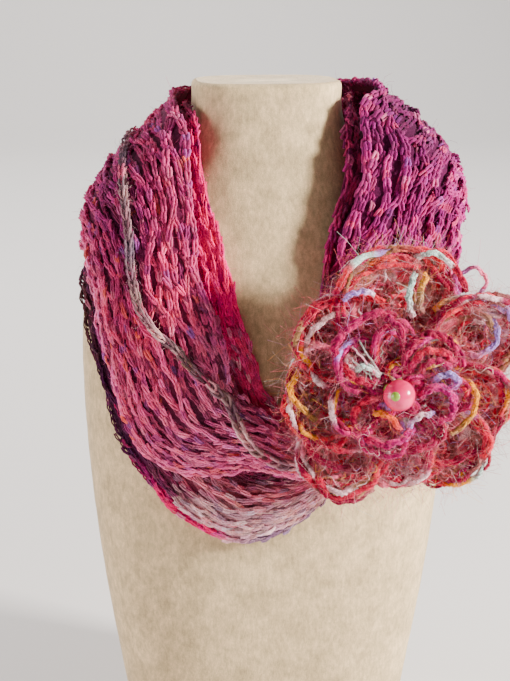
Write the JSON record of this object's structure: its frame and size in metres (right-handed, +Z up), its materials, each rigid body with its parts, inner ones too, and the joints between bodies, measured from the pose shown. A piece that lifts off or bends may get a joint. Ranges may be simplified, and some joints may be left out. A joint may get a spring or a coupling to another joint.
{
  "type": "infinity scarf on a neck display form",
  "caption": "Loose knitted infinity scarf wound twice round a limbless velvet neck display form, gathered under a fluffy yarn flower brooch with a glossy bead.",
  "frame": {"origin": "centre of the display form's flat underside", "axes": "+Z up, +X to the viewer's right, the scarf's front faces -Y"},
  "size_m": [0.2481, 0.2045, 0.4313],
  "materials": {
    "rose_wool": "heathered rose and raspberry wool, matte, fuzzy",
    "purple_wool": "heathered red-violet wool, matte, fuzzy",
    "plum_wool": "rose wool shading to violet, matte, fuzzy",
    "pink_wool": "bright pink wool, matte",
    "mauve_wool": "grey-mauve heather wool, matte, fuzzy",
    "flower_red_wool": "brushed mohair yarn, red with mixed colours",
    "flower_magenta_wool": "brushed mohair yarn, magenta with mixed colours",
    "flower_felt": "dark red felt",
    "bead_gloss": "glossy pink with small green dots",
    "velvet": "mottled beige velvet"
  },
  "bodies": {
    "root": {"display_form": "velvet", "front_left_stretch": "rose_wool", "nape_upper": "plum_wool", "front_right_stretch": "purple_wool", "under_lower_stretch": "mauve_wool", "under_left_stretch": "pink_wool", "nape_lower": "plum_wool", "under_right_stretch": "purple_wool", "edge_chain": "mauve_wool", "flower_backing": "flower_felt", "flower_heart": "flower_magenta_wool", "bead": "bead_gloss", "outer_petal_1": "flower_red_wool", "outer_petal_2": "flower_red_wool", "outer_petal_3": "flower_red_wool", "outer_petal_4": "flower_red_wool", "outer_petal_5": "flower_red_wool", "outer_petal_6": "flower_red_wool", "outer_petal_7": "flower_red_wool", "outer_petal_8": "flower_red_wool", "inner_petal_1": "flower_magenta_wool", "inner_petal_2": "flower_magenta_wool", "inner_petal_3": "flower_magenta_wool", "inner_petal_4": "flower_magenta_wool", "inner_petal_5": "flower_magenta_wool", "inner_petal_6": "flower_magenta_wool", "inner_petal_7": "flower_magenta_wool"}
  },
  "joints": []
}
